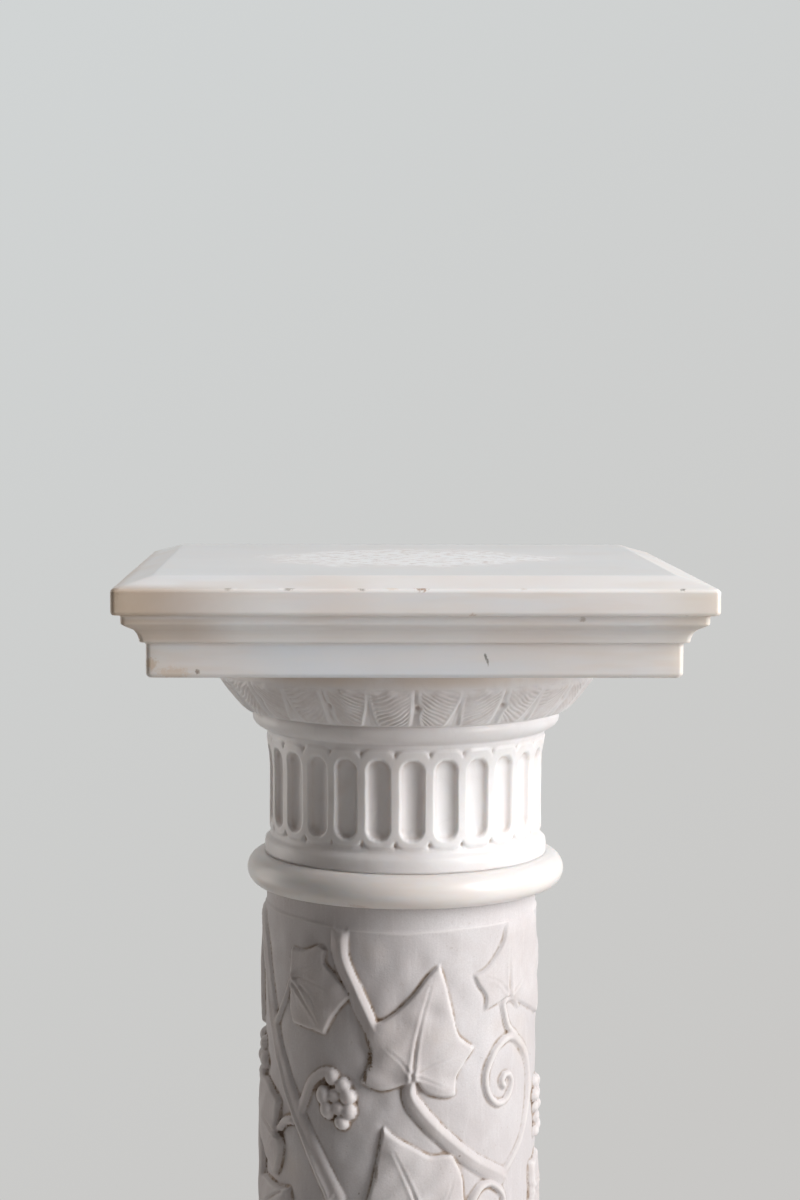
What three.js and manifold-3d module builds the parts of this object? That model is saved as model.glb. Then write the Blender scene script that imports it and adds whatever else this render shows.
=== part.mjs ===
// Marble display column: a moulded square top on a carved capital, a polished ring,
// a round shaft carved with a vine, and a turned base on a square plinth.
// Millimetres, +Z up. The column stands on z = 0 and its shaft is on the Z axis.
import * as THREE from 'three';
import { mergeVertices } from 'three/addons/utils/BufferGeometryUtils.js';
import Module from 'manifold-3d';

const wasm = await Module();
wasm.setup();

// Bedding joint between one stone and the next
const JOINT = 0.3;

// Square foot
const PLINTH_SIDE = 320;
const PLINTH_HEIGHT = 55;
const PLINTH_ARRIS = 3;

// Turned base: a large round, a hollow and a small round under a fillet
const BASE_RADIUS = 112;
const BASE_LARGE_ROUND = 30;
const BASE_HOLLOW_HEIGHT = 18;
const BASE_HOLLOW_DEPTH = 7;
const BASE_SMALL_ROUND = 12;
const BASE_SMALL_RADIUS = 90;
const BASE_FILLET = 5;
const BASE_SIDES = 28;

// Shaft
const SHAFT_HEIGHT = 776;
const SHAFT_RADIUS = 74.8;
const SHAFT_SIDES = 32;
const COLLAR_HEIGHT = 12;
const COLLAR_RADIUS = 74.1;
const LOWER_BAND = 22;
const LEAF_RELIEF = 2.8;
const LEAF_SLOPE = 0.8;
const VEIN_WIDTH = 2.2;
const VEIN_DEPTH = 1.3;

// Polished ring between the shaft and the capital
const RING_RADIUS = 87.3;
const RING_HEIGHT = 18;
const RING_OFFSET = 2.3;

// Capital
const CAPITAL_HEIGHT = 109.1;
const CAPITAL_OFFSET = 2.3;
const LEAVES = 13;
const FLUTES_PER_LEAF = 2;
const CARVING_TURN = 1.2;
const RIM_RADIUS = 103.4;
const RIM_BAND = 9.6;
const LEAF_BAND = 21.2;
const LEAF_FOOT_RADIUS = 84.6;
const LEAF_CARVING = 2;
const BEAD_RADIUS = 84.2;
const BEAD_HEIGHT = 9.6;
const NECK_RADIUS = 73.9;
const NECK_TOP_RADIUS = 76.3;
const FLUTE_HEIGHT = 42.9;
const FLUTE_WIDTH = 13.1;
const FLUTE_DEPTH = 3.4;
const FLUTE_ABOVE_FOOT = 17.5;
const FOOT_RING_RADIUS = 77.3;
const FOOT_RING_HEIGHT = 8.6;

// Square top
const SLAB_SIDE = 300;
const SLAB_HEIGHT = 51.2;
const SLAB_OFFSET = 3.3;
const WASH_WIDTH = 19.9;
const WASH_DROP = 6;
const FASCIA_HEIGHT = 12.8;
const FASCIA_STEP = 4.5;
const FILLET_HEIGHT = 4.8;
const HOLLOW_HEIGHT = 9.6;
const HOLLOW_DEPTH = 8.8;
const UNDER_STEP = 2.8;
const SLAB_CORNER = 4;

const SIDES_PER_FLUTE = 2;
const DEGREE = Math.PI / 180;

// A closed geometry becomes a solid once its repeated corners are one
function solidOf(geometry) {
  const bare = geometry.clone();
  bare.deleteAttribute('normal');
  bare.deleteAttribute('uv');
  const welded = mergeVertices(bare, 1e-4);
  const index = Array.from(welded.index.array);
  const corners = [];
  for (let i = 0; i < index.length; i += 3) {
    const [a, b, c] = index.slice(i, i + 3);
    if (a !== b && b !== c && c !== a) corners.push(a, b, c);
  }
  const mesh = new wasm.Mesh({
    numProp: 3,
    vertProperties: new Float32Array(welded.attributes.position.array),
    triVerts: new Uint32Array(corners),
  });
  const solid = new wasm.Manifold(mesh);
  return solid;
}

function geometryOf(solid) {
  const mesh = solid.getMesh();
  const geometry = new THREE.BufferGeometry();
  geometry.setAttribute('position', new THREE.BufferAttribute(mesh.vertProperties, 3));
  geometry.setIndex(new THREE.BufferAttribute(mesh.triVerts, 1));
  geometry.computeVertexNormals();
  return geometry;
}

// Points [radius, height] of a round stretch of a moulding
function arc(radius, height, reach, rise, from, to, steps) {
  const points = [];
  for (let i = 0; i <= steps; i += 1) {
    const turn = THREE.MathUtils.degToRad(from + ((to - from) * i) / steps);
    points.push([radius + reach * Math.cos(turn), height + rise * Math.sin(turn)]);
  }
  return points;
}

// A turned stone: the profile goes up from the axis and back to it
function turned(profile, sides) {
  const points = profile.map(([radius, height]) => new THREE.Vector2(radius, height));
  const geometry = new THREE.LatheGeometry(points, sides);
  geometry.rotateX(Math.PI / 2);
  return geometry;
}

// Direction 0 is the front of the column (-Y), turning towards +X
function onColumn(radius, degrees, height) {
  const turn = degrees * DEGREE;
  return new THREE.Vector3(radius * Math.sin(turn), -radius * Math.cos(turn), height);
}

// A closed body from rows of corners, each row a closed outline seen from outside
function skinned(rows) {
  const around = rows[0].length;
  const positions = rows.flat().flatMap((point) => point.toArray());
  const index = [];
  for (let row = 0; row < rows.length - 1; row += 1) {
    for (let i = 0; i < around; i += 1) {
      const a = row * around + i;
      const b = row * around + ((i + 1) % around);
      index.push(a, b, b + around, a, b + around, a + around);
    }
  }
  return { positions, index, around };
}

function bodyFrom(positions, index) {
  const geometry = new THREE.BufferGeometry();
  geometry.setAttribute('position', new THREE.Float32BufferAttribute(positions, 3));
  geometry.setIndex(index);
  const solid = solidOf(geometry);
  if (solid.volume() > 0) return solid;
  const turnedOut = [];
  for (let i = 0; i < index.length; i += 3) turnedOut.push(index[i], index[i + 2], index[i + 1]);
  geometry.setIndex(turnedOut);
  return solidOf(geometry);
}

// Square top: square courses with softened corners, from the underside up
function squareTop() {
  const half = SLAB_SIDE / 2;
  const underFascia = SLAB_HEIGHT - WASH_DROP - FASCIA_HEIGHT;
  const hollowTop = underFascia - FILLET_HEIGHT;
  const hollowFoot = hollowTop - HOLLOW_HEIGHT;
  const stepHalf = half - FASCIA_STEP;
  const underHalf = stepHalf - HOLLOW_DEPTH - UNDER_STEP;
  const courses = [
    [underHalf - 1.3, 0],
    [underHalf, 1.8],
    [underHalf, hollowFoot],
    [underHalf + UNDER_STEP, hollowFoot],
    ...arc(stepHalf, hollowFoot, HOLLOW_DEPTH, HOLLOW_HEIGHT, 180, 105, 4).map(([w, z]) => [w, z]),
    [stepHalf, hollowTop],
    [stepHalf, underFascia],
    [half - 0.8, underFascia],
    [half, underFascia + 1.2],
    [half, SLAB_HEIGHT - WASH_DROP - 1.2],
    [half - 1, SLAB_HEIGHT - WASH_DROP + 0.3],
    [half - WASH_WIDTH, SLAB_HEIGHT],
  ];
  const rows = courses.map(([side, height]) => {
    const row = [];
    for (let corner = 0; corner < 4; corner += 1) {
      const centre = side - SLAB_CORNER;
      for (let step = 0; step <= 2; step += 1) {
        const turn = (corner + step / 2) * (Math.PI / 2);
        const [sx, sy] = [[1, 1], [-1, 1], [-1, -1], [1, -1]][corner];
        const x = sx * centre + SLAB_CORNER * Math.cos(turn);
        const y = sy * centre + SLAB_CORNER * Math.sin(turn);
        row.push(new THREE.Vector3(x, y, height));
      }
    }
    return row;
  });
  const { positions, index, around } = skinned(rows);
  const last = (rows.length - 1) * around;
  for (let i = 1; i < around - 1; i += 1) {
    index.push(0, i + 1, i);
    index.push(last, last + i, last + i + 1);
  }
  return bodyFrom(positions, index);
}

// Capital: turned profile, with the flare cut into leaves and the neck into flutes
function carvedCapital() {
  const flutes = LEAVES * FLUTES_PER_LEAF;
  const leafFoot = CAPITAL_HEIGHT - RIM_BAND - LEAF_BAND;
  const leafTop = CAPITAL_HEIGHT - RIM_BAND;
  const beadFoot = leafFoot - BEAD_HEIGHT;
  const neckFoot = FOOT_RING_HEIGHT + 1.6;
  const bead = arc(BEAD_RADIUS - BEAD_HEIGHT / 2, beadFoot + BEAD_HEIGHT / 2, BEAD_HEIGHT / 2,
    BEAD_HEIGHT / 2, -70, 60, 3);
  const flare = arc(LEAF_FOOT_RADIUS - 2, leafTop + 4, RIM_RADIUS - LEAF_FOOT_RADIUS + 4,
    LEAF_BAND + 4, -82, -9, 3);
  const profile = [
    [0, 0],
    [FOOT_RING_RADIUS, 0],
    [FOOT_RING_RADIUS, FOOT_RING_HEIGHT * 0.7],
    [FOOT_RING_RADIUS - 1.6, FOOT_RING_HEIGHT],
    [NECK_RADIUS, neckFoot],
    [NECK_RADIUS, leafFoot - BEAD_HEIGHT - 21],
    [NECK_RADIUS + 0.7, leafFoot - BEAD_HEIGHT - 9],
    [NECK_TOP_RADIUS, beadFoot - 0.6],
    ...bead,
    ...flare,
    [RIM_RADIUS, leafTop + 0.8],
    [RIM_RADIUS, CAPITAL_HEIGHT],
    [0, CAPITAL_HEIGHT],
  ];
  const geometry = turned(profile, flutes * SIDES_PER_FLUTE);
  const position = geometry.attributes.position;
  const spot = new THREE.Vector3();
  for (let i = 0; i < position.count; i += 1) {
    spot.fromBufferAttribute(position, i);
    const up = (spot.z - leafFoot) / LEAF_BAND;
    if (up > 0.02 && up < 0.99) {
      const turn = Math.atan2(spot.x, -spot.y);
      const quarter = Math.round((turn / (2 * Math.PI)) * LEAVES * 4 + LEAVES * 8) % 4;
      const lift = [-0.2, 0.55, -1, 0.55][quarter] * LEAF_CARVING * Math.sin(Math.PI * Math.min(up + 0.15, 1));
      const radius = Math.hypot(spot.x, spot.y);
      position.setXYZ(i, spot.x * (1 + lift / radius), spot.y * (1 + lift / radius), spot.z);
    }
  }
  let solid = solidOf(geometry);
  const channel = new THREE.CapsuleGeometry(FLUTE_WIDTH / 2, FLUTE_HEIGHT - FLUTE_WIDTH, 2, 6);
  channel.rotateX(Math.PI / 2);
  channel.scale(1, (2 * FLUTE_DEPTH) / FLUTE_WIDTH, 1);
  const cutters = [];
  for (let i = 0; i < flutes; i += 1) {
    const cutter = channel.clone();
    cutter.translate(0, -NECK_RADIUS, FLUTE_ABOVE_FOOT + FLUTE_HEIGHT / 2);
    cutter.rotateZ((2 * Math.PI * i) / flutes);
    cutters.push(solidOf(cutter));
  }
  solid = solid.subtract(wasm.Manifold.union(cutters));
  return solid;
}

// Vine: places on the shaft are [degrees from the front, millimetres below the shaft's top]
const STEM_LONG = [[-76.2, 13], [-71.4, 37.4], [-65.6, 67.7], [-59.3, 92.2], [-48.8, 119], [-38, 138], [-28.8, 158]];
const STEM_SHORT = [[-26.8, 13], [-26.3, 27.5], [-20.4, 44.4], [-14.2, 62]];
const STEM_LOW = [[2.7, 91.5], [2, 99], [5.5, 108], [15, 122], [29, 138], [44, 150]];
const STEM_FRUIT = [[-48, 117], [-44.5, 107], [-40.5, 97], [-34, 90.5], [-29, 91]];
const TENDRIL = [
  [47, 148], [57, 136], [63.2, 123], [66.5, 106], [62.5, 88], [54, 77], [47.5, 75.5], [40.5, 81],
  [36, 92], [37, 103], [42, 109.5], [48, 108.5], [51.3, 101], [49.5, 95.5], [46.2, 95],
];

// Leaf outlines, across and up from the stalk's foot in millimetres
const LEAF_TALL = {
  outline: [
    [2.5, -1], [8.7, -7.8], [18.8, -10.6], [24.3, -9.6], [24.8, -0.5], [28.1, 5.6], [35.8, 14.9],
    [29.1, 19.5], [25.2, 24.2], [21.8, 37.9], [18.4, 51.6], [15.1, 61.4], [8.5, 55.3], [1.3, 46],
    [-6.3, 38], [-13.8, 32.5], [-20.1, 29.6], [-23.6, 24], [-21.5, 15], [-23.6, 5.8],
    [-24.7, -0.7], [-20, -5.2], [-13.8, -6], [-3.1, -2.6],
  ],
  veins: [[[0.5, 2], [9.2, 50]], [[0, 4], [-13.5, 17]]],
};
const LEAF_BROAD = {
  outline: [
    [0.9, -2], [-0.9, -12.7], [1.7, -23.6], [17.4, -25.1], [24.4, -26.7], [31.6, -13.9],
    [41.1, -3.8], [32.8, 5], [25.1, 12.1], [25.6, 19.1], [21.3, 21.3], [14.6, 18.7], [9.7, 17.4],
    [0.9, 17.6], [0, 11.4],
  ],
  veins: [[[2, 0], [33, -3.5]], [[2, -2], [19, -20]]],
};
const LEAF_WIDE = {
  outline: [
    [0, 0], [8.4, -9.2], [26.4, -21], [41, -14], [38, 0], [48, 14], [38, 24], [23, 36], [8, 38],
    [-2.1, 36.7], [-4.3, 31.1], [-11, 23], [-17.6, 17.5], [-24.5, 15.1], [-21.4, 8.8],
    [-16.8, 2.8], [-17.5, -5.2], [-8.6, -2.3],
  ],
  veins: [[[0, 3], [0.5, 32]], [[1, 3], [-19, 13.5]]],
};
const LEAF_BENT = {
  outline: [
    [0, 0], [14.4, -5], [23.5, 4], [21.4, 14], [20.2, 26.1], [16.7, 34.7], [12.8, 39.4],
    [2.7, 39.2], [-7.2, 44.5], [-16.3, 49.9], [-23, 55.7], [-24, 48.6], [-27, 32.8],
    [-30.7, 16.4], [-36.6, 5], [-30, -6], [-11.7, -7],
  ],
  veins: [[[-1, 4], [-17, 42]]],
};
const LEAF_PLAIN = {
  outline: [
    [0, 0], [12, -9], [17, 3], [29, 12], [14, 52], [-4, 36], [-22, 26], [-21, -5],
  ],
  veins: [],
};
const BERRIES = [[-5, 10.6], [1.6, 6.4], [4.4, 1.2], [-9.6, 0], [-3, 0.6], [-0.6, -5.4], [4.6, -6.4], [-7, -7.2], [1, -13]];
const BERRY_RADIUS = 4;

// One course of the vine turns by COURSE_TURN as it drops by COURSE_HEIGHT
const COURSE_HEIGHT = 145;
const COURSE_TURN = 47.4;

const alongShaft = (millimetres) => millimetres / (SHAFT_RADIUS * DEGREE);

// A rounded ridge along a path laid on the shaft
function ridge(path, width, endWidth, lift, steps) {
  const line = new THREE.CatmullRomCurve3(
    path.map(([turn, drop]) => new THREE.Vector3(turn * SHAFT_RADIUS * DEGREE, -drop, 0)),
  );
  const rows = [];
  for (let i = 0; i <= steps; i += 1) {
    const at = line.getPointAt(i / steps);
    const ahead = line.getTangentAt(i / steps);
    const wide = THREE.MathUtils.lerp(width, endWidth, i / steps);
    const section = [[-0.5, -1], [-0.3, 1], [0.3, 1], [0.5, -1]];
    rows.push(section.map(([side, rise]) => {
      const x = at.x + ahead.y * side * wide;
      const y = at.y - ahead.x * side * wide;
      return onColumn(SHAFT_RADIUS + rise * lift, alongShaft(x), y);
    }));
  }
  const { positions, index, around } = skinned(rows);
  const last = (rows.length - 1) * around;
  for (let i = 1; i < around - 1; i += 1) {
    index.push(0, i + 1, i);
    index.push(last, last + i, last + i + 1);
  }
  return bodyFrom(positions, index);
}

// A leaf is its outline carried out of the shaft, drawing in by LEAF_SLOPE as it rises
function leafBody(outline, turn, drop) {
  const flat = outline.map(([across, up]) => new THREE.Vector2(across, up));
  const box = new THREE.Box2().setFromPoints(flat);
  const middle = box.getCenter(new THREE.Vector2());
  const size = box.getSize(new THREE.Vector2());
  const halfTurn = Math.min(size.x / 2 / SHAFT_RADIUS, 1);
  const bulge = (SHAFT_RADIUS + LEAF_RELIEF) * (1 / Math.cos(halfTurn) - 1);
  const reach = [-3, LEAF_RELIEF + bulge + 0.5];
  const rows = reach.map((rise) => flat.map((point) => {
    const drawn = 1 - (2 * LEAF_SLOPE * (rise - LEAF_RELIEF / 2)) / Math.min(size.x, size.y);
    const at = point.clone().sub(middle).multiplyScalar(drawn).add(middle);
    return onColumn(SHAFT_RADIUS + rise, turn + alongShaft(at.x), at.y - drop);
  }));
  const { positions, index, around } = skinned(rows);
  for (const [a, b, c] of THREE.ShapeUtils.triangulateShape(flat, [])) {
    index.push(c, b, a);
    index.push(around + a, around + b, around + c);
  }
  return bodyFrom(positions, index);
}

function veinCut(points, turn, drop) {
  const rows = points.map(([across, up], end) => {
    const [x0, y0] = points[0];
    const [x1, y1] = points[1];
    const length = Math.hypot(x1 - x0, y1 - y0);
    const side = [(y1 - y0) / length, -(x1 - x0) / length];
    const wide = (end ? 0.4 : 0.5) * VEIN_WIDTH;
    const surface = SHAFT_RADIUS + LEAF_RELIEF;
    const at = (shift, radius) => onColumn(
      radius,
      turn + alongShaft(across + side[0] * shift),
      up + side[1] * shift - drop,
    );
    return [at(-wide * 2, surface + VEIN_DEPTH), at(0, surface - VEIN_DEPTH), at(wide * 2, surface + VEIN_DEPTH)];
  });
  const { positions, index } = skinned(rows);
  index.push(0, 2, 1, 3, 4, 5);
  return bodyFrom(positions, index);
}

// One course, turned and dropped together: the front one is full, the others are plainer
function vineCourse(turn, drop, full) {
  const place = (points) => points.map(([t, d]) => [t + turn, d + drop]);
  const leaves = full
    ? [[LEAF_BROAD, -52.7, 43.9], [LEAF_TALL, 2.7, 91.5], [LEAF_WIDE, 48.2, 52.9], [LEAF_BENT, 9, 172]]
    : [[LEAF_PLAIN, -30, 70], [LEAF_PLAIN, 14, 132]];
  const prisms = leaves.map(([leaf, t, d]) => leafBody(leaf.outline, t + turn, d + drop));
  const veins = leaves.flatMap(([leaf, t, d]) => (
    leaf.veins.map((vein) => veinCut(vein, t + turn, d + drop))
  ));
  const raised = [ridge(place(STEM_LONG), 6, 12, 2.6, full ? 6 : 3)];
  if (full) {
    raised.push(ridge(place(STEM_LOW), 9, 10, 2.4, 5));
    raised.push(ridge(place(STEM_SHORT), 7.5, 6.5, 2.6, 3));
    raised.push(ridge(place(STEM_FRUIT), 6, 4.5, 2.2, 3));
    raised.push(ridge(place(TENDRIL), 6, 3, 2, 14));
    for (const [across, up] of BERRIES) {
      const berry = new THREE.SphereGeometry(BERRY_RADIUS, 6, 3);
      berry.rotateX(Math.PI / 2);
      const at = onColumn(SHAFT_RADIUS, -26.5 + turn + alongShaft(across), up - 103 - drop);
      berry.translate(at.x, at.y, at.z);
      raised.push(solidOf(berry));
    }
  }
  return { prisms, veins, raised };
}

function carvedShaft() {
  const below = SHAFT_RADIUS + LEAF_RELIEF;
  const drum = turned([
    [0, -SHAFT_HEIGHT],
    [COLLAR_RADIUS, -SHAFT_HEIGHT],
    [COLLAR_RADIUS, -SHAFT_HEIGHT + LOWER_BAND - 1.2],
    [SHAFT_RADIUS, -SHAFT_HEIGHT + LOWER_BAND],
    [SHAFT_RADIUS, -COLLAR_HEIGHT - 1.2],
    [COLLAR_RADIUS, -COLLAR_HEIGHT],
    [COLLAR_RADIUS, 0],
    [0, 0],
  ], SHAFT_SIDES);
  const shell = turned([
    [0, -SHAFT_HEIGHT + LOWER_BAND],
    [below, -SHAFT_HEIGHT + LOWER_BAND],
    [below, -COLLAR_HEIGHT - 0.6],
    [0, -COLLAR_HEIGHT - 0.6],
  ], SHAFT_SIDES);
  const carved = SHAFT_HEIGHT - COLLAR_HEIGHT - LOWER_BAND;
  const courses = Math.floor(carved / COURSE_HEIGHT);
  const prisms = [];
  const veins = [];
  const raised = [];
  for (let course = 0; course < courses; course += 1) {
    for (const half of [0, 180]) {
      const part = vineCourse(half + course * COURSE_TURN, course * COURSE_HEIGHT, course === 0 && half === 0);
      prisms.push(...part.prisms);
      veins.push(...part.veins);
      raised.push(...part.raised);
    }
  }
  const outer = solidOf(shell);
  const leaves = wasm.Manifold.union(prisms).intersect(outer).subtract(wasm.Manifold.union(veins));
  return solidOf(drum).add(leaves).add(wasm.Manifold.union(raised));
}

function turnedBase() {
  const large = BASE_LARGE_ROUND / 2;
  const small = BASE_SMALL_ROUND / 2;
  const hollowFoot = BASE_LARGE_ROUND + 2;
  const hollowTop = hollowFoot + BASE_HOLLOW_HEIGHT;
  const top = hollowTop + BASE_SMALL_ROUND + BASE_FILLET;
  const waist = BASE_SMALL_RADIUS - small;
  const profile = [
    [0, 0],
    ...arc(BASE_RADIUS - large, large, large, large, -90, 90, 5),
    [waist + 2, BASE_LARGE_ROUND],
    [waist + 2, hollowFoot],
    ...arc(waist + 1, hollowFoot + BASE_HOLLOW_HEIGHT / 2, -BASE_HOLLOW_DEPTH, BASE_HOLLOW_HEIGHT / 2, -60, 60, 2),
    [waist, hollowTop],
    ...arc(waist, hollowTop + small, small, small, -80, 80, 3),
    [waist - 3, hollowTop + BASE_SMALL_ROUND],
    [waist - 3, top],
    [0, top],
  ];
  return { solid: solidOf(turned(profile, BASE_SIDES)), height: top };
}

function squareFoot() {
  const half = PLINTH_SIDE / 2;
  const side = (inset, height) => [
    [-1, -1], [1, -1], [1, 1], [-1, 1],
  ].map(([x, y]) => new THREE.Vector3(x * (half - inset), y * (half - inset), height));
  const rows = [side(0, 0), side(0, PLINTH_HEIGHT - PLINTH_ARRIS), side(PLINTH_ARRIS, PLINTH_HEIGHT)];
  const { positions, index } = skinned(rows);
  index.push(0, 2, 1, 0, 3, 2, 8, 9, 10, 8, 10, 11);
  return bodyFrom(positions, index);
}

const ringHalf = RING_HEIGHT / 2;
const polishedRing = solidOf(turned([
  [0, 0],
  ...arc(RING_RADIUS - ringHalf, ringHalf, ringHalf, ringHalf, -90, 90, 7),
  [0, RING_HEIGHT],
], SHAFT_SIDES));

const dusty = { color: 0xb9b4b0, roughness: 0.85, metalness: 0 };
const white = { color: 0xe9e6e3, roughness: 0.5, metalness: 0 };
const cream = { color: 0xe6ded2, roughness: 0.28, metalness: 0 };

const column = new THREE.Group();

function addStone(name, solid, look, x, z, turn = 0) {
  const mesh = new THREE.Mesh(geometryOf(solid), new THREE.MeshStandardMaterial(look));
  mesh.name = name;
  mesh.position.set(x, 0, z);
  mesh.rotation.z = turn * DEGREE;
  column.add(mesh);
}

const base = turnedBase();
const baseFoot = PLINTH_HEIGHT + JOINT;
const shaftTop = baseFoot + base.height + JOINT + SHAFT_HEIGHT;
const ringFoot = shaftTop + JOINT;
const capitalFoot = ringFoot + RING_HEIGHT + JOINT;
const slabFoot = capitalFoot + CAPITAL_HEIGHT + JOINT;

addStone('plinth', squareFoot(), dusty, 0, 0);
addStone('base_ring', base.solid, dusty, 0, baseFoot);
addStone('shaft', carvedShaft(), dusty, 0, shaftTop);
addStone('torus_ring', polishedRing, cream, RING_OFFSET, ringFoot);
addStone('capital', carvedCapital(), white, CAPITAL_OFFSET, capitalFoot, CARVING_TURN);
addStone('top_slab', squareTop(), cream, SLAB_OFFSET, slabFoot);

export default column;
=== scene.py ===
import math

import bpy
import numpy as np
from mathutils import Matrix, Vector


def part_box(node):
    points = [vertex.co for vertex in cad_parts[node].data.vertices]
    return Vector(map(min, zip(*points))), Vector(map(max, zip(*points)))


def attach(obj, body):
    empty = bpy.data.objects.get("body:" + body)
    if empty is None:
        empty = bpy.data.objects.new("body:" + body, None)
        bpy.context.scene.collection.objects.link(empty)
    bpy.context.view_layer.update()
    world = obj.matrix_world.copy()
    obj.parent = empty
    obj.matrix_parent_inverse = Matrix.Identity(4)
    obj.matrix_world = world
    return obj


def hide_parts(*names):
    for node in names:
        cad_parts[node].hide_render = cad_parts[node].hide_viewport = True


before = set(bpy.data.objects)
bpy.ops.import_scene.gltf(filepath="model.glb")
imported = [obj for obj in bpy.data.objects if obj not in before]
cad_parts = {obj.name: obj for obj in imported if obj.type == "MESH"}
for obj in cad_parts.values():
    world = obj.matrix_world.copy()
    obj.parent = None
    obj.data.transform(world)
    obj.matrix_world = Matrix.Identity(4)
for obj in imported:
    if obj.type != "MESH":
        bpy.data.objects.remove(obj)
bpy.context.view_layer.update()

# Plinth: the square foot that carries the column, a sawn block of the same dusty marble as the
# shaft. It stands on the floor by its own weight, and its edges are eased with a 3 mm arris.
MM = 0.001


def measures(low, high):
    """The foot, top, middle and half width of a solid's box, in millimetres."""
    return low[2] / MM, high[2] / MM, (low[0] + high[0]) / 2 / MM, (high[0] - low[0]) / 2 / MM


def tone(red, green, blue):
    """A colour read off the photograph, turned into the shader's linear values."""
    values = []
    for part in (red, green, blue):
        part = part / 255
        values.append(part / 12.92 if part <= 0.04045 else ((part + 0.055) / 1.055) ** 2.4)
    return (*values, 1)


def placed(name, data):
    piece = bpy.data.objects.new(name, data)
    bpy.context.scene.collection.objects.link(piece)
    return piece


def stone_mesh(name, points, faces, sharp):
    """One closed stone, in metres, shaded smooth except at its sharp arrises."""
    mesh = bpy.data.meshes.new(name)
    mesh.from_pydata([tuple(p) for p in points], [], [tuple(f) for f in faces])
    mesh.validate()
    mesh.shade_smooth()
    mesh.set_sharp_from_angle(angle=math.radians(sharp))
    return placed(name, mesh)


def courses(start, rows, around):
    """Faces between rings of corners laid from the bottom up."""
    faces = []
    for low in range(start, start + (rows - 1) * around, around):
        for k in range(around):
            right = (k + 1) % around
            faces.append((low + k, low + right, low + around + right, low + around + k))
    return faces


def closed_stone(name, points, faces, lowest, highest, centre, sharp):
    """Closes the lowest and the highest ring, of so many corners, with a fan to its middle."""
    middle = len(points)
    last = middle - highest
    faces += [(middle, (k + 1) % lowest, k) for k in range(lowest)]
    faces += [(middle + 1, last + k, last + (k + 1) % highest) for k in range(highest)]
    ends = [[0, 0, points[0][2]], [0, 0, points[-1][2]]]
    points = (np.concatenate([points, ends]) + [*centre, 0]) * MM
    return stone_mesh(name, points, faces, sharp)


def evenly(profile, steps, whole=math.ceil):
    """The profile's points, with more put in about a step apart. The steps can change with height."""
    profile = np.array(profile, float)
    out = [profile[0]]
    for a, b in zip(profile[:-1], profile[1:]):
        step = next(size for limit, size in steps if (a[1] + b[1]) / 2 < limit)
        parts = max(1, whole(np.hypot(*(b - a)) / step))
        out += [a + (b - a) * (k + 1) / parts for k in range(parts)]
    return np.array(out)


def rounded(profile, reach):
    """Cuts each corner of a profile with a small arc, held flat on both sides of it."""
    profile = [np.array(p, float) for p in profile]
    out = [profile[0]]
    for a, b, c in zip(profile[:-2], profile[1:-1], profile[2:]):
        back, on = np.hypot(*(a - b)), np.hypot(*(c - b))
        cut = min(reach, back / 4.4, on / 4.4)
        to_back, to_on = (a - b) / back * cut, (c - b) / on * cut
        out += [b + to_back * 2, b + to_back, b + (to_back + to_on) / 4, b + to_on, b + to_on * 2]
    return np.array(out + [profile[-1]])


def stacked(name, loops, centre, sharp):
    """A stone built up from level loops of corners, in millimetres, and moved to its centre."""
    around = len(loops[0])
    faces = courses(0, len(loops), around)
    return closed_stone(name, np.concatenate(loops), faces, around, around, centre, sharp)


def square_block(name, profile, corner, centre, per_side):
    """A moulded square block: a loop with rounded corners at each point of its profile."""
    bend = np.radians(np.linspace(0, 90, 7))[1:-1]
    loops = []
    for half, height in profile:
        flat = half - corner
        side = np.column_stack([np.full(per_side + 1, half), np.linspace(-flat, flat, per_side + 1)])
        arc = np.column_stack([flat + corner * np.cos(bend), flat + corner * np.sin(bend)])
        quarter = np.concatenate([side, arc])
        turns = [quarter @ np.array([[c, s], [-s, c]]) for c, s in ((1, 0), (0, 1), (-1, 0), (0, -1))]
        loop = np.concatenate(turns)
        loops.append(np.column_stack([loop, np.full(len(loop), height)]))
    return stacked(name, loops, centre, 35)


def feed(tree, made, inputs):
    for socket, value in inputs.items():
        if isinstance(value, bpy.types.NodeSocket):
            tree.links.new(value, made.inputs[socket])
        else:
            made.inputs[socket].default_value = value


def node(tree, kind, inputs=None, **settings):
    """A new node with its settings and inputs, and what comes out of it."""
    made = tree.nodes.new(kind)
    for key, value in settings.items():
        setattr(made, key, value)
    feed(tree, made, inputs or {})
    return made.outputs


def maths(tree, operation, *values, clamp=False):
    inputs = dict(enumerate(values))
    return node(tree, "ShaderNodeMath", inputs, operation=operation, use_clamp=clamp)[0]


def vector(tree, operation, *values):
    made = node(tree, "ShaderNodeVectorMath", dict(enumerate(values)), operation=operation)
    return made["Value" if operation == "LENGTH" else "Vector"]


def ramp(tree, value, low, high, start=0.0, end=1.0, kind="SMOOTHSTEP"):
    inputs = {0: value, 1: low, 2: high, 3: start, 4: end}
    return node(tree, "ShaderNodeMapRange", inputs, interpolation_type=kind)[0]


def tint(tree, share, under, over):
    return node(tree, "ShaderNodeMix", {0: share, 6: under, 7: over}, data_type="RGBA")[2]


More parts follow.
